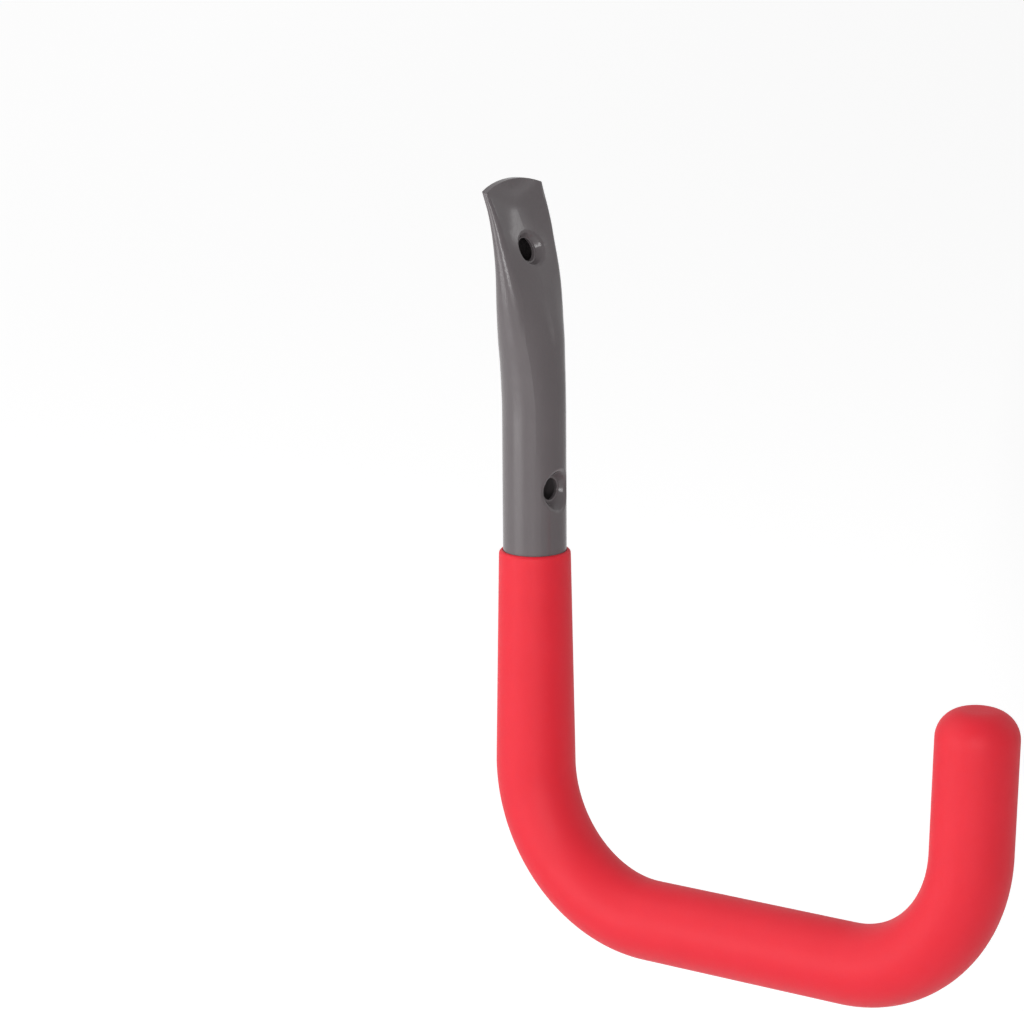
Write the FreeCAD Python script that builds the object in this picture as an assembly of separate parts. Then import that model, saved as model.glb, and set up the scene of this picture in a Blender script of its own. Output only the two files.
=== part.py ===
import FreeCAD, Part
import math
import os

# Wall hook: one bent steel tube with a pressed upper end, and a soft sleeve over its hooked part.
# Millimetres. The wall is the plane Y = 0, the arm reaches out along -Y and +Z is up.
# The origin lies on the wall, half way between the two screw holes.

# Tube
TUBE_DIAMETER = 22.0
TUBE_WALL = 1.2
BEND_RADIUS = 49.0
ARM_STRAIGHT = 82.0
ARM_RISE_DEGREES = 2.0
UPRIGHT_LENGTH = 49.0
UPRIGHT_LEAN_DEGREES = 2.0

# Screw holes, and the pressed dimple round each of them
HOLE_DIAMETER = 7.5
HOLE_SPACING = 82.0
HOLE_ROUNDING = 0.3
DIMPLE_DIAMETER = 14.5
DIMPLE_DEPTH = 4.0
DIMPLE_LAND = 0.8
DIMPLE_ROUNDING = 1.2
UPPER_DIMPLE_DEPTH = 2.4
UPPER_DIMPLE_TILT_DEGREES = 23.0

# Sleeve
RIM_BELOW_HOLE = 22.2
SLEEVED_LEG = 75.0
SLEEVE_WALL = 2.8
SLEEVE_RIM_WALL = 1.4
SLEEVE_RIM_ROUNDING = 1.3
TIP_WALL = 4.0
TIP_ROUNDING = 9.6

# Pressed upper end
TOP_ABOVE_HOLE = 23.8
TOP_CROWN = 3.2
TOP_DISH = 0.1
TOP_OVERRUN = 3.0
CAVITY_LEAST_DEPTH = 1.5

# Ratios to the tube's radius: half the width at the top, how far the front stands off the wall at the
# upper hole, and how far below that hole the tube is still round.
TOP_HALF_WIDTH_RATIO = 1.4
UPPER_FRONT_RATIO = 0.982
ROUND_BELOW_RATIO = 5.2

# Outlines of the pressed end at rising heights, as ratios to the tube's radius: height from the upper
# hole, half the width, radius of the folds, and how far the folds and the middle of the front stand
# off the wall.
PRESSED_RATIOS = (
    (-2.67, 1.180, 0.782, 1.682, 1.845),
    (-1.49, 1.285, 0.564, 1.400, 1.545),
    (-0.67, 1.320, 0.400, 1.173, 1.255),
    (0.0, 1.330, 0.282, 0.955, UPPER_FRONT_RATIO),
    (0.60, 1.345, 0.209, 0.773, 0.691),
    (1.19, 1.350, 0.155, 0.573, 0.400),
    (1.69, 1.372, 0.118, 0.364, 0.245),
)
# From the round tube to the first of these: round outlines by their drop in radii, the share of the
# first pressed outline that each step takes on, and where the arcs of the round meet.
ROUND_DROP_RATIOS = (1.0, 0.5, 0.0)
EASING_RATIOS = (0.08, 0.3, 0.6)
FOLD_TURNS_DEGREES = (-55.0, 42.0)

# Sizes that follow from the ones above
tube_radius = TUBE_DIAMETER / 2
bore_radius = tube_radius - TUBE_WALL
hole_radius = HOLE_DIAMETER / 2
sleeve_radius = tube_radius + SLEEVE_WALL
rim_radius = tube_radius + SLEEVE_RIM_WALL
upper_hole = HOLE_SPACING / 2
lower_hole = -HOLE_SPACING / 2
top = upper_hole + TOP_ABOVE_HOLE
top_half_width = TOP_HALF_WIDTH_RATIO * tube_radius
upper_tilt = UPPER_DIMPLE_TILT_DEGREES
upper_floor = UPPER_FRONT_RATIO * tube_radius - UPPER_DIMPLE_DEPTH / math.cos(math.radians(upper_tilt))
lower_floor = TUBE_DIAMETER - DIMPLE_DEPTH
round_top = upper_hole - ROUND_BELOW_RATIO * tube_radius
rim = lower_hole - RIM_BELOW_HOLE
bend_start = rim - SLEEVED_LEG


def at(x, reach, height):
    """Point at a distance in front of the wall."""
    return FreeCAD.Vector(x, -reach, height)


def away(place, distance, degrees):
    """Reach and height of a place some way off, the turn counted from straight out towards up."""
    reach, height = place
    turn = math.radians(degrees)
    return reach + distance * math.cos(turn), height + distance * math.sin(turn)


def arc(first, middle, last):
    return Part.Arc(first, middle, last).toShape()


def line(first, last):
    return Part.LineSegment(first, last).toShape()


def on_arc(x, reach, radius, turn):
    """Place on an arc, its turn counted from the side towards the front."""
    return x + radius * math.cos(turn), reach + radius * math.sin(turn)


def outline(points, height):
    """Closed level outline from the seven points of its right half: back, fold and front arcs."""
    right = [at(x, reach, height) for x, reach in points]
    left = [at(-x, reach, height) for x, reach in points]
    return Part.Wire([
        arc(right[0], right[1], right[2]),
        arc(right[2], right[3], right[4]),
        arc(right[4], right[5], right[6]),
        arc(left[6], left[5], left[4]),
        arc(left[4], left[3], left[2]),
        arc(left[2], left[1], left[0]),
    ])


def round_points(radius):
    """Right half of the plain round tube, split where its folds begin further up."""
    ends = (-90, *FOLD_TURNS_DEGREES, 90)
    turns = [ends[0]]
    for first, last in zip(ends, ends[1:]):
        turns += [(first + last) / 2, last]
    return [on_arc(0, tube_radius, radius, math.radians(turn)) for turn in turns]


def pressed_points(half_width, fold, fold_front, middle, inset):
    """Right half of the tube pressed towards the wall: arcs tangent to each other, moved inwards."""
    fold_x = half_width - fold
    fold_reach = fold_front - fold
    back_radius = (fold_x ** 2 + fold_reach ** 2 - fold ** 2) / (2 * (fold_reach - fold))
    hollow = middle - fold_reach
    front_radius = (fold_x ** 2 + hollow ** 2 - fold ** 2) / (2 * (hollow - fold))
    front_centre = middle - front_radius

    quarter = math.pi / 2
    back_turn = math.atan2(fold_reach - back_radius, fold_x)
    front_turn = quarter - math.atan(fold_x / (fold_reach - front_centre))
    return [
        on_arc(0, back_radius, back_radius - inset, -quarter),
        on_arc(0, back_radius, back_radius - inset, (back_turn - quarter) / 2),
        on_arc(fold_x, fold_reach, fold - inset, back_turn),
        on_arc(fold_x, fold_reach, fold - inset, (back_turn + front_turn) / 2),
        on_arc(fold_x, fold_reach, fold - inset, front_turn),
        on_arc(0, front_centre, front_radius - inset, (front_turn + quarter) / 2),
        on_arc(0, front_centre, front_radius - inset, quarter),
    ]


def between(first, last, share):
    """Numbers part of the way from one list to another."""
    return [a + (b - a) * share for a, b in zip(first, last)]


def pressed_outlines(inset):
    """Outlines from the round tube up to where the walls close in on each other."""
    plain = round_points(tube_radius - inset)
    rows = []
    for ratios in PRESSED_RATIOS:
        rise, half_width, fold, fold_front, middle = [ratio * tube_radius for ratio in ratios]
        if middle - 2 * inset > CAVITY_LEAST_DEPTH:
            rows.append((upper_hole + rise, pressed_points(half_width, fold, fold_front, middle, inset)))

    first_height, first_points = rows[0]
    wires = [outline(plain, round_top - drop * tube_radius) for drop in ROUND_DROP_RATIOS]
    for step, share in enumerate(EASING_RATIOS, start=1):
        height = round_top + (first_height - round_top) * step / (len(EASING_RATIOS) + 1)
        eased = [between(place, pressed, share) for place, pressed in zip(plain, first_points)]
        wires.append(outline(eased, height))
    return wires + [outline(points, height) for height, points in rows]


def top_outline(height):
    """Both walls pressed together and folded round at the sides, in a shallow dish."""
    folded = 2 * TUBE_WALL
    return outline(pressed_points(top_half_width, TUBE_WALL, folded + TOP_DISH, folded, 0.0), height)


# Places along the tube's axis, as reach and height
first_bend = (tube_radius + BEND_RADIUS, bend_start)
arm_start = away(first_bend, BEND_RADIUS, ARM_RISE_DEGREES - 90)
arm_end = away(arm_start, ARM_STRAIGHT, ARM_RISE_DEGREES)
second_bend = away(arm_end, BEND_RADIUS, ARM_RISE_DEGREES + 90)
upright_start = away(second_bend, BEND_RADIUS, -UPRIGHT_LEAN_DEGREES)
tip = away(upright_start, UPRIGHT_LENGTH, 90 - UPRIGHT_LEAN_DEGREES)
tube_end = away(upright_start, UPRIGHT_LENGTH - TIP_WALL, 90 - UPRIGHT_LEAN_DEGREES)


def bend(centre, first, last):
    """A bend of the axis about its centre, from one turn to another."""
    turns = (first, (first + last) / 2, last)
    return arc(*[at(0, *away(centre, BEND_RADIUS, turn)) for turn in turns])


def hook_edges(end):
    """The tube's axis below the leg: a bend, the arm, a second bend and the upright."""
    return [
        bend(first_bend, -180, ARM_RISE_DEGREES - 90),
        line(at(0, *arm_start), at(0, *arm_end)),
        bend(second_bend, ARM_RISE_DEGREES - 90, -UPRIGHT_LEAN_DEGREES),
        line(at(0, *upright_start), at(0, *end)),
    ]


def round_bar(radius, edges, start_height):
    """A round bar along edges that start on the leg's axis."""
    ring = Part.Circle(at(0, tube_radius, start_height), FreeCAD.Vector(0, 0, 1), radius)
    disc = Part.Face(Part.Wire(ring.toShape()))
    return Part.Wire(edges).makePipe(disc)


def tube_bar(radius):
    """A round bar along the whole tube below its pressed end."""
    start_height = round_top - tube_radius
    leg = line(at(0, tube_radius, start_height), at(0, tube_radius, bend_start))
    return round_bar(radius, [leg] + hook_edges(tube_end), start_height)


def edges_about(shape, centre):
    """The round edges of a shape about a point."""
    return [edge for edge in shape.Edges if edge.CenterOfMass.distanceToPoint(centre) < TUBE_WALL / 10]


def dimple(height, floor, tilt, thickness):
    """The pressed cone round a hole, tilted up from its floor, or that cone grown by a wall's thickness."""
    land = hole_radius + DIMPLE_LAND
    slope = math.atan2(DIMPLE_DIAMETER / 2 - land, DIMPLE_DEPTH)
    mouth = floor + 2 * DIMPLE_DEPTH

    def cone_radius(reach):
        return land + (reach - floor) * math.tan(slope) + thickness / math.cos(slope)

    corners = [
        at(0, floor - thickness, height),
        at(cone_radius(floor - thickness), floor - thickness, height),
        at(cone_radius(mouth), mouth, height),
        at(0, mouth, height),
    ]
    face = Part.Face(Part.makePolygon(corners + corners[:1]))
    cone = face.revolve(at(0, 0, height), at(0, 1, 0), 360)
    cone.rotate(at(0, floor, height), FreeCAD.Vector(-1, 0, 0), tilt)
    return cone


def screw_hole(height):
    """A hole right through the tube, square to the wall."""
    return Part.makeCylinder(hole_radius, 2 * TUBE_DIAMETER, at(0, -tube_radius, height), at(0, 1, 0))


def top_trim():
    """What is cut away above the crowned top edge."""
    crown_radius = (top_half_width ** 2 + TOP_CROWN ** 2) / (2 * TOP_CROWN)
    crown = Part.makeCylinder(crown_radius, 2 * TUBE_DIAMETER, at(0, -tube_radius, top - crown_radius), at(0, 1, 0))
    side = 4 * top_half_width
    block = Part.makeBox(side, 2 * TUBE_DIAMETER, side)
    block.translate(FreeCAD.Vector(-side / 2, tube_radius - 2 * TUBE_DIAMETER, top - side / 4))
    return block.cut(crown)


def lofted(wires):
    """A smooth solid through outlines, by curves of the second degree so that it does not overshoot."""
    return Part.makeLoft(wires, True, False, False, 2)


def tube_form():
    """The tube's outside, as a full solid."""
    wires = pressed_outlines(0.0) + [top_outline(top), top_outline(top + TOP_OVERRUN)]
    return tube_bar(tube_radius).fuse(lofted(wires)).cut(top_trim())


def dimpled(form, height, floor, tilt):
    """A form with a dimple pressed in and the dimple's mouth rounded."""
    pressed = form.cut(dimple(height, floor, tilt, 0.0))
    cones = [face for face in pressed.Faces if isinstance(face.Surface, Part.Cone)]
    cone = min(cones, key=lambda face: abs(face.CenterOfMass.z - height))
    mouth = [edge for edge in cone.Edges if isinstance(edge.Curve, Part.BSplineCurve)]
    return pressed.makeFillet(DIMPLE_ROUNDING, mouth)


def drilled(tube, height, floor):
    """A tube with a screw hole through both walls, its edge rounded on the dimple's floor."""
    pierced = tube.cut(screw_hole(height))
    edge = min(edges_about(pierced, at(0, floor, height)), key=lambda edge: edge.Length)
    return pierced.makeFillet(HOLE_ROUNDING, [edge])


def bent_tube(form):
    """The tube with its bore, dimples and screw holes."""
    bore = tube_bar(bore_radius).fuse(lofted(pressed_outlines(TUBE_WALL)))
    tube = form
    for height, floor, tilt in ((upper_hole, upper_floor, upper_tilt), (lower_hole, lower_floor, 0.0)):
        bore = bore.cut(dimple(height, floor, tilt, TUBE_WALL))
        tube = dimpled(tube, height, floor, tilt)
    tube = tube.cut(bore)
    return drilled(drilled(tube, upper_hole, upper_floor), lower_hole, lower_floor)


def foam_sleeve(form):
    """The sleeve over the tube, thin at its rim and closed at its tip."""
    leg = Part.makeCone(sleeve_radius, rim_radius, SLEEVED_LEG, at(0, tube_radius, bend_start))
    leg = leg.makeFillet(SLEEVE_RIM_ROUNDING, edges_about(leg, at(0, tube_radius, rim)))
    hook = round_bar(sleeve_radius, hook_edges(tip), bend_start)
    hook = hook.makeFillet(TIP_ROUNDING, edges_about(hook, at(0, *tip)))
    return leg.fuse(hook).cut(form)


os.makedirs("parts", exist_ok=True)
form = tube_form()
bent_tube(form).exportStep("parts/bent_tube.step")
foam_sleeve(form).exportStep("parts/foam_sleeve.step")
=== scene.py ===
import bmesh
import bpy
import math
from mathutils import Matrix, Vector


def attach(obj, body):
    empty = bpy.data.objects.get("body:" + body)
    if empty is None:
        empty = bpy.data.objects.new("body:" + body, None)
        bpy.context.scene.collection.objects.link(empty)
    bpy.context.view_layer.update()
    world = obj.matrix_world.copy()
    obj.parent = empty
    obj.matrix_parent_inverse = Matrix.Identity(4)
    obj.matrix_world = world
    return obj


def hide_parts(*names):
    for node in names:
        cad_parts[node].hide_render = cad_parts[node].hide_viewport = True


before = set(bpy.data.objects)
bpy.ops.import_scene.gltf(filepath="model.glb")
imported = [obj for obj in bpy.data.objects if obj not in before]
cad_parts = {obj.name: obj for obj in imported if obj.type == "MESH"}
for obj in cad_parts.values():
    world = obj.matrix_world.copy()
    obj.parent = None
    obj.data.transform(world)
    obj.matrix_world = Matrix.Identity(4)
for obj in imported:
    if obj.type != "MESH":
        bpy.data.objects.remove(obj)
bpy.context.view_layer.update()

# Sizes of the hook in metres, as the solids have them
MM = 0.001
TUBE_RADIUS = 11.0 * MM
SLEEVE_RADIUS = 13.8 * MM
RIM_RADIUS = 12.4 * MM
RIM_ROUNDING = 1.3 * MM
RIM_HEIGHT = -63.2 * MM
LEG_END = -138.2 * MM
BEND_RADIUS = 49.0 * MM
ARM_LENGTH = 82.0 * MM
UPRIGHT_LENGTH = 49.0 * MM
ARM_RISE = math.radians(2.0)
UPRIGHT_LEAN = math.radians(2.0)
TIP_ROUNDING = 9.6 * MM
TIP_WALL = 4.0 * MM

# Rings of the sleeve's mesh: their number, and how far from the rim and the tube some of them lie
SLEEVE_SIDES = 72
BORE_STEPS = 120
BORE_START = 1.5 * MM
BORE_GAP = 0.02 * MM
MOUTH_START = 0.2 * MM
MOUTH_GAP = 0.05 * MM
RIM_STEP_DEGREES = 10
SKIN_STEPS = 170
SKIN_START = 2.2 * MM
TIP_STEPS = 12
TIP_FLAT_SHARES = (0.6, 0.25)

# Looks: a noise is (scale, detail, roughness), and a bump is (strength, depth in metres)
NOISE_RANGE = (0.2, 0.8)
SPECULAR_LEVEL = 0.4
COATING_TONES = ((0.121, 0.106, 0.111), (0.129, 0.113, 0.118))
COATING_ROUGHNESS = (0.20, 0.26)
COATING_PATCHES = (70.0, 3.0, 0.5)
COATING_PEEL = (900.0, 2.0, 0.5)
COATING_GRAIN = (3200.0, 2.0, 0.6)
PEEL_BUMP = (0.06, 0.0002)
GRAIN_BUMP = (0.05, 0.00008)
# Painted shade: a near-black colour laid over the tube where ambient occlusion within the reach is
# low, inside the bore and the holes
PAINTED_SHADE_COLOUR = (0.006, 0.0055, 0.0055)
PAINTED_SHADE_REACH = 0.02
PAINTED_SHADE_OPENNESS = (0.15, 0.45)
FOAM_TONES = ((0.75, 0.012, 0.030), (0.79, 0.015, 0.035))
FOAM_ROUGHNESS = (0.50, 0.62)
FOAM_PATCHES = (45.0, 3.0, 0.55)
FOAM_PORES = (1500.0, 3.0, 0.6)
FOAM_SWELL = (260.0, 2.0, 0.5)
SWELL_BUMP = (0.10, 0.0004)
PORE_BUMP = (0.16, 0.00016)
FOAM_DEPTH_SHARE = 0.4
FOAM_DEPTH_COLOURS = (1.0, 0.2, 0.15)
FOAM_DEPTH = 0.0015
WHITE = (1.0, 1.0, 1.0, 1.0)

# Photograph's frame and camera
IMAGE_WIDTH = 1024
FOCAL_PIXELS = 4048.0
SENSOR_WIDTH = 36.0
FARTHEST_SEEN = 50.0
CAMERA_PLACE = Vector((-1.0508, -0.86255, 0.27845))
CAMERA_AZIMUTH = math.radians(-50.65)
CAMERA_ELEVATION = math.radians(13.56)
CAMERA_ROLL = math.radians(-0.41)

# Floor and sky: each grading is a direction and its stops, which are (distance along it, strength)
FLOOR_SIZE = 24.0
FLOOR_HEIGHT = -0.34
FLOOR_COLOUR = (0.82, 0.82, 0.82, 1.0)
FLOOR_ROUGHNESS = 0.9
# Painted shade: the floor's glow to the camera and to gloss fades along FLOOR_SHADE, toward the front
# right, so the tube mirrors a darker floor
FLOOR_SHADE = Vector((0.5, -0.866, 0.0))
FLOOR_WHITENESS = [(-1.0, 0.53), (0.1, 0.50), (0.8, 0.05)]
SKY_SHADE = Vector((0.25, -0.433, 0.866))
SKY_WHITENESS = [(-0.1, 1.0), (0.25, 0.62)]
SKY_DIRECTION = Vector((-0.507, 0.618, -0.6))
SKY_STRENGTH = [(-1.0, 0.41), (1.0, 0.84)]

# Light panels: name, place aimed at, azimuth, elevation, distance, width, height and power
MIDDLE = Vector((0.0, -0.09, -0.08))
UPPER_END = Vector((0.0, -0.01, 0.045))
PANELS = (
    ("key", MIDDLE, -115.0, 1.0, 1.3, 0.8, 0.5, 4.6),
    ("rim", MIDDLE, -150.0, 45.0, 1.3, 0.6, 0.6, 2.3),
    ("front", UPPER_END, -56.0, 5.0, 1.7, 0.6, 0.42, 8.0),
    ("far_strip", UPPER_END, 60.5, 20.5, 1.3, 0.16, 0.14, 0.42),
    ("far_panel", UPPER_END, 45.0, 4.0, 1.3, 0.38, 0.30, 0.22),
)


# Nodes of a material

def new_material(name):
    """A new material, its nodes and its links."""
    material = bpy.data.materials.new(name)
    material.use_nodes = True
    return material, material.node_tree.nodes, material.node_tree.links


def noise(nodes, links, coordinates, scale, detail, roughness):
    """Noise in the coordinates given."""
    node = nodes.new("ShaderNodeTexNoise")
    node.inputs["Scale"].default_value = scale
    node.inputs["Detail"].default_value = detail
    node.inputs["Roughness"].default_value = roughness
    links.new(coordinates, node.inputs["Vector"])
    return node.outputs["Fac"]


def spread(nodes, links, value, low, high, within=NOISE_RANGE):
    """A value moved from the range it lies within to run from low to high."""
    node = nodes.new("ShaderNodeMapRange")
    node.inputs["From Min"].default_value = within[0]
    node.inputs["From Max"].default_value = within[1]
    node.inputs["To Min"].default_value = low
    node.inputs["To Max"].default_value = high
    links.new(value, node.inputs["Value"])
    return node.outputs["Result"]


def mixed_colour(nodes, links, share, first, last):
    """A colour between two: the last one may be a colour or another node's output."""
    node = nodes.new("ShaderNodeMix")
    node.data_type = "RGBA"
    node.inputs["A"].default_value = (*first, 1.0)
    if isinstance(last, tuple):
        node.inputs["B"].default_value = (*last, 1.0)
    else:
        links.new(last, node.inputs["B"])
    links.new(share, node.inputs["Factor"])
    return node.outputs["Result"]


def bump(nodes, links, height, strength, distance, under=None):
    """A bump, over another one if there is one below it."""
    node = nodes.new("ShaderNodeBump")
    node.inputs["Strength"].default_value = strength
    node.inputs["Distance"].default_value = distance
    links.new(height, node.inputs["Height"])
    if under:
        links.new(under, node.inputs["Normal"])
    return node.outputs["Normal"]


def coating_material():
    """Satin grey coating with fine orange peel and slight patches of gloss, and painted shade that
    darkens it to near black where it is closed in, inside the bore and the holes.
    """
    material, nodes, links = new_material("grey_coating")
    shader = nodes["Principled BSDF"]
    place = nodes.new("ShaderNodeTexCoord").outputs["Object"]
    patches = noise(nodes, links, place, *COATING_PATCHES)
    peel = noise(nodes, links, place, *COATING_PEEL)
    grain = noise(nodes, links, place, *COATING_GRAIN)

    tone = mixed_colour(nodes, links, spread(nodes, links, patches, 0.0, 1.0), *COATING_TONES)
    # Painted shade: the coating's tone gives way to near black where the surface is closed in
    openness = nodes.new("ShaderNodeAmbientOcclusion")
    openness.only_local = True
    openness.inputs["Distance"].default_value = PAINTED_SHADE_REACH
    unshaded_share = spread(nodes, links, openness.outputs["AO"], 0.0, 1.0, PAINTED_SHADE_OPENNESS)
    links.new(mixed_colour(nodes, links, unshaded_share, PAINTED_SHADE_COLOUR, tone), shader.inputs["Base Color"])
    links.new(spread(nodes, links, patches, *COATING_ROUGHNESS), shader.inputs["Roughness"])
    rough = bump(nodes, links, peel, *PEEL_BUMP)
    links.new(bump(nodes, links, grain, *GRAIN_BUMP, rough), shader.inputs["Normal"])
    shader.inputs["Specular IOR Level"].default_value = SPECULAR_LEVEL
    return material


def foam_material():
    """Soft red foam: matte skin with closed pores, and a faint change of tone."""
    material, nodes, links = new_material("red_foam")
    shader = nodes["Principled BSDF"]
    place = nodes.new("ShaderNodeTexCoord").outputs["Object"]
    patches = noise(nodes, links, place, *FOAM_PATCHES)
    pores = noise(nodes, links, place, *FOAM_PORES)
    swell = noise(nodes, links, place, *FOAM_SWELL)

    tone = mixed_colour(nodes, links, spread(nodes, links, patches, 0.0, 1.0), *FOAM_TONES)
    links.new(tone, shader.inputs["Base Color"])
    links.new(spread(nodes, links, pores, *FOAM_ROUGHNESS), shader.inputs["Roughness"])
    rough = bump(nodes, links, swell, *SWELL_BUMP)
    links.new(bump(nodes, links, pores, *PORE_BUMP, rough), shader.inputs["Normal"])
    shader.inputs["Specular IOR Level"].default_value = SPECULAR_LEVEL
    shader.inputs["Subsurface Weight"].default_value = FOAM_DEPTH_SHARE
    shader.inputs["Subsurface Radius"].default_value = FOAM_DEPTH_COLOURS
    shader.inputs["Subsurface Scale"].default_value = FOAM_DEPTH
    return material


# The sleeve

def wall_point(reach, height):
    """Place in the hook's middle plane, at a distance in front of the wall."""
    return Vector((0.0, -reach, height))


def along(angle):
    """Direction in the middle plane, turned up from straight out."""
    return Vector((0.0, -math.cos(angle), math.sin(angle)))


def straight(start, angle):
    """Place and direction at a distance along a straight stretch."""
    def place(distance):
        return start + distance * along(angle)

    def direction(distance):
        return along(angle)

    return place, direction


def curved(centre, first):
    """Place and direction at a distance along a bend that starts at an angle round its centre."""
    def place(distance):
        return centre + BEND_RADIUS * along(first + distance / BEND_RADIUS)

    def direction(distance):
        return along(first + distance / BEND_RADIUS + math.pi / 2)

    return place, direction


def sleeve_axis():
    """Stretches of the sleeve's axis: (length, place at a distance, direction at a distance)."""
    quarter = math.pi / 2
    first_bend = wall_point(TUBE_RADIUS + BEND_RADIUS, LEG_END)
    arm_start = first_bend + BEND_RADIUS * along(ARM_RISE - quarter)
    arm_end = arm_start + ARM_LENGTH * along(ARM_RISE)
    second_bend = arm_end + BEND_RADIUS * along(ARM_RISE + quarter)
    upright_start = second_bend + BEND_RADIUS * along(-UPRIGHT_LEAN)
    return [
        (RIM_HEIGHT - LEG_END, *straight(wall_point(TUBE_RADIUS, RIM_HEIGHT), -quarter)),
        (BEND_RADIUS * (quarter + ARM_RISE), *curved(first_bend, -math.pi)),
        (ARM_LENGTH, *straight(arm_start, ARM_RISE)),
        (BEND_RADIUS * (quarter - ARM_RISE - UPRIGHT_LEAN), *curved(second_bend, ARM_RISE - quarter)),
        (UPRIGHT_LENGTH, *straight(upright_start, quarter - UPRIGHT_LEAN)),
    ]


def on_axis(stretches, distance):
    """Place and direction on the axis at a distance from the rim."""
    *earlier, last = stretches
    for length, place, direction in earlier:
        if distance <= length:
            return place(distance), direction(distance)
        distance -= length
    place, direction = last[1:]
    return place(distance), direction(distance)


def sleeve_rings(total):
    """Each ring's distance from the rim and radius: out of the bore, round the rim, on to the tip."""
    depth = total - TIP_WALL
    rings = []
    for step in range(BORE_STEPS + 1):
        distance = depth + (BORE_START - depth) * step / BORE_STEPS
        rings.append((distance, TUBE_RADIUS + BORE_GAP))
    rings.append((MOUTH_START, TUBE_RADIUS + MOUTH_GAP))
    for degrees in range(0, 91, RIM_STEP_DEGREES):
        turn = math.radians(degrees)
        radius = RIM_RADIUS - RIM_ROUNDING * (1 - math.sin(turn))
        rings.append((RIM_ROUNDING * (1 - math.cos(turn)), radius))
    leg = RIM_HEIGHT - LEG_END
    shoulder = total - TIP_ROUNDING
    for step in range(SKIN_STEPS + 1):
        distance = SKIN_START + (shoulder - SKIN_START) * step / SKIN_STEPS
        share = min(distance / leg, 1.0)
        rings.append((distance, RIM_RADIUS + (SLEEVE_RADIUS - RIM_RADIUS) * share))
    for step in range(1, TIP_STEPS + 1):
        turn = math.radians(90 * step / TIP_STEPS)
        radius = SLEEVE_RADIUS - TIP_ROUNDING * (1 - math.cos(turn))
        rings.append((shoulder + TIP_ROUNDING * math.sin(turn), radius))
    flat = SLEEVE_RADIUS - TIP_ROUNDING
    rings += [(total, flat * share) for share in TIP_FLAT_SHARES]
    return rings


def foam_sleeve():
    """The sleeve as one closed body round the hook's axis, with a bore for the tube."""
    stretches = sleeve_axis()
    total = sum(stretch[0] for stretch in stretches)
    mesh = bmesh.new()
    across = Vector((1.0, 0.0, 0.0))
    loops = []
    for distance, radius in sleeve_rings(total):
        centre, ahead = on_axis(stretches, distance)
        out = ahead.cross(across)
        loop = []
        for side in range(SLEEVE_SIDES):
            turn = 2 * math.pi * side / SLEEVE_SIDES
            spoke = math.cos(turn) * across + math.sin(turn) * out
            loop.append(mesh.verts.new(centre + radius * spoke))
        loops.append(loop)
    for first, last in zip(loops, loops[1:]):
        for side in range(SLEEVE_SIDES):
            beside = (side + 1) % SLEEVE_SIDES
            mesh.faces.new((first[side], first[beside], last[beside], last[side]))
    for loop, distance in ((loops[0], total - TIP_WALL), (loops[-1], total)):
        peak = mesh.verts.new(on_axis(stretches, distance)[0])
        for side in range(SLEEVE_SIDES):
            mesh.faces.new((loop[side], loop[(side + 1) % SLEEVE_SIDES], peak))
    bmesh.ops.recalc_face_normals(mesh, faces=mesh.faces)
    for face in mesh.faces:
        face.smooth = True
    data = bpy.data.meshes.new("sleeve_skin")
    mesh.to_mesh(data)
    mesh.free()
    piece = bpy.data.objects.new("sleeve_skin", data)
    bpy.context.collection.objects.link(piece)
    return piece


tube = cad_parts["bent_tube"]
tube.data.materials.clear()
tube.data.materials.append(coating_material())

sleeve = foam_sleeve()
sleeve.data.materials.append(foam_material())
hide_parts("foam_sleeve")
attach(sleeve, "root")


# Floor, light and camera

def graded(nodes, links, place, direction, stops):
    """A value that changes along a direction: stops are (distance, value), from first to last."""
    dot = nodes.new("ShaderNodeVectorMath")
    dot.operation = "DOT_PRODUCT"
    dot.inputs[1].default_value = direction
    links.new(place, dot.inputs[0])
    first, last = stops[0][0], stops[-1][0]
    share = spread(nodes, links, dot.outputs["Value"], 0.0, 1.0, (first, last))
    ramp = nodes.new("ShaderNodeValToRGB")
    elements = ramp.color_ramp.elements
    while len(elements) < len(stops):
        elements.new(0.5)
    for element, (distance, value) in zip(elements, stops):
        element.position = (distance - first) / (last - first)
        element.color = (value, value, value, 1.0)
    links.new(share, ramp.inputs["Fac"])
    return ramp.outputs["Color"]


def seen_strength(nodes, links):
    """A strength that is its To Max to the camera, gloss and glass, and its To Min to other light."""
    path = nodes.new("ShaderNodeLightPath")
    share = path.outputs["Is Camera Ray"]
    for ray in ("Is Glossy Ray", "Is Transmission Ray"):
        either = nodes.new("ShaderNodeMath")
        either.operation = "MAXIMUM"
        links.new(share, either.inputs[0])
        links.new(path.outputs[ray], either.inputs[1])
        share = either.outputs["Value"]
    strength = nodes.new("ShaderNodeMapRange")
    links.new(share, strength.inputs["Value"])
    return strength


def floor_material():
    """Pale floor that shows white behind the hook and keeps a soft shadow; its glow to the camera and
    to gloss fades toward the front right, a painted shade that the tube mirrors on its right side.
    """
    material, nodes, links = new_material("pale_floor")
    shader = nodes["Principled BSDF"]
    shader.inputs["Base Color"].default_value = FLOOR_COLOUR
    shader.inputs["Roughness"].default_value = FLOOR_ROUGHNESS
    shader.inputs["Specular IOR Level"].default_value = 0.0
    shader.inputs["Emission Color"].default_value = WHITE
    place = nodes.new("ShaderNodeTexCoord").outputs["Object"]
    strength = seen_strength(nodes, links)
    strength.inputs["To Min"].default_value = 0.0
    # Painted shade: the glow fades toward the front right, and the tube mirrors it
    links.new(graded(nodes, links, place, FLOOR_SHADE, FLOOR_WHITENESS), strength.inputs["To Max"])
    links.new(strength.outputs["Result"], shader.inputs["Emission Strength"])
    return material


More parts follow.
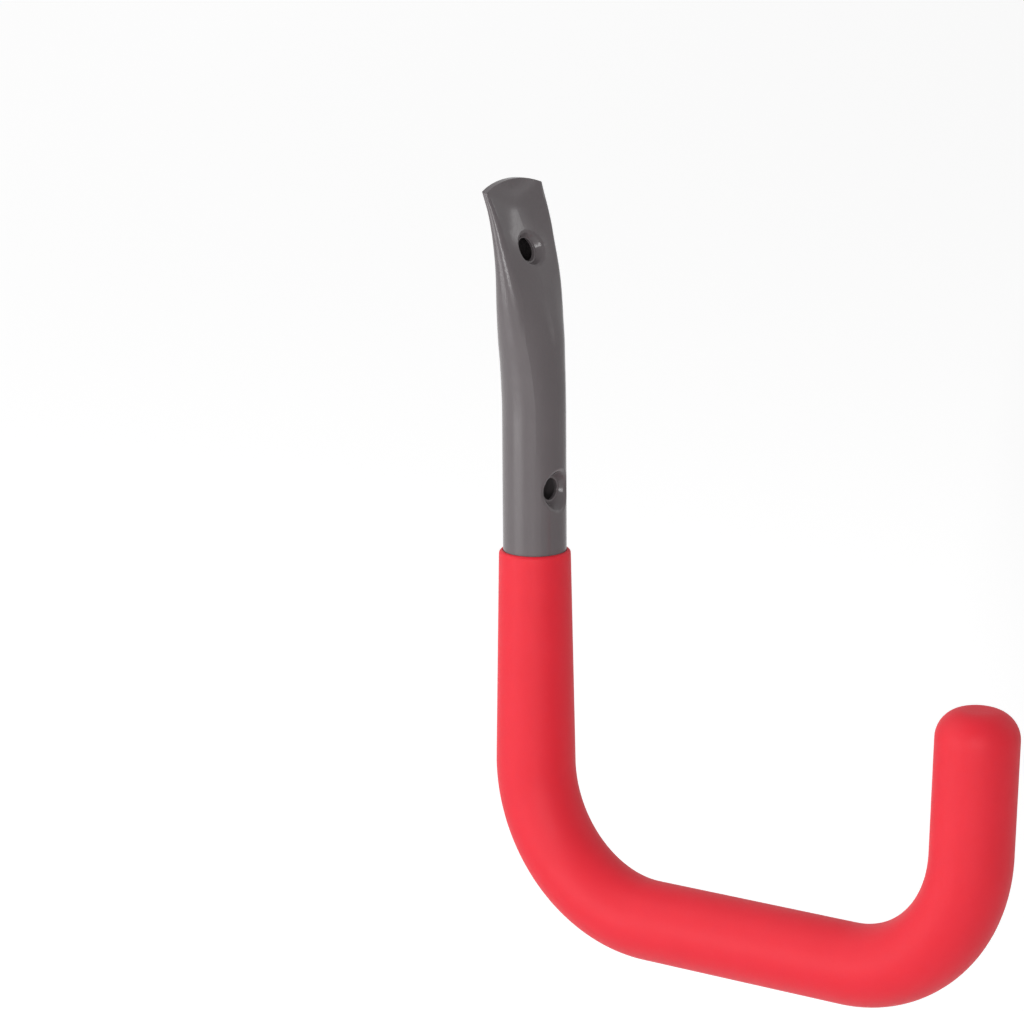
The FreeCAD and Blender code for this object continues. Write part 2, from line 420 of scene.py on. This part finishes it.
def white_world():
    """Soft light, stronger on one side, and white or pale grey where the sky itself is seen."""
    world = bpy.data.worlds.new("studio")
    world.use_nodes = True
    bpy.context.scene.world = world
    nodes, links = world.node_tree.nodes, world.node_tree.links
    background = nodes["Background"]
    background.inputs["Color"].default_value = WHITE
    place = nodes.new("ShaderNodeTexCoord").outputs["Generated"]
    strength = seen_strength(nodes, links)
    links.new(graded(nodes, links, place, SKY_DIRECTION, SKY_STRENGTH), strength.inputs["To Min"])
    links.new(graded(nodes, links, place, SKY_SHADE, SKY_WHITENESS), strength.inputs["To Max"])
    links.new(strength.outputs["Result"], background.inputs["Strength"])


def outward(azimuth, elevation):
    """Direction away from the hook: azimuth 0 is straight in front of the wall."""
    level = math.cos(elevation)
    return Vector((math.sin(azimuth) * level, -math.cos(azimuth) * level, math.sin(elevation)))


def soft_light(name, target, azimuth, elevation, distance, width, height, power):
    """A soft light panel aimed at a place on the hook."""
    data = bpy.data.lights.new(name, "AREA")
    data.shape = "RECTANGLE"
    data.size = width
    data.size_y = height
    data.energy = power
    back = outward(math.radians(azimuth), math.radians(elevation))
    light = bpy.data.objects.new(name, data)
    light.location = target + distance * back
    light.rotation_euler = back.to_track_quat("Z", "Y").to_euler()
    bpy.context.collection.objects.link(light)


def photo_camera():
    """The camera that took the photograph, as fitted to the hook."""
    data = bpy.data.cameras.new("camera")
    data.sensor_fit = "HORIZONTAL"
    data.sensor_width = SENSOR_WIDTH
    data.lens = FOCAL_PIXELS / IMAGE_WIDTH * data.sensor_width
    data.clip_end = FARTHEST_SEEN
    back = outward(CAMERA_AZIMUTH, CAMERA_ELEVATION)
    right = Vector((math.cos(CAMERA_AZIMUTH), math.sin(CAMERA_AZIMUTH), 0.0))
    up = back.cross(right)
    level, tilt = math.cos(CAMERA_ROLL), math.sin(CAMERA_ROLL)
    axes = Matrix((right * level + up * tilt, up * level - right * tilt, back)).transposed()
    camera = bpy.data.objects.new("camera", data)
    camera.matrix_world = Matrix.Translation(CAMERA_PLACE) @ axes.to_4x4()
    bpy.context.collection.objects.link(camera)
    bpy.context.scene.camera = camera


bpy.ops.mesh.primitive_plane_add(size=FLOOR_SIZE, location=(0.0, 0.0, FLOOR_HEIGHT))
floor = bpy.context.object
floor.name = "floor"
floor.data.materials.append(floor_material())

white_world()
for panel in PANELS:
    soft_light(*panel)
photo_camera()
bpy.context.scene.view_settings.view_transform = "Standard"
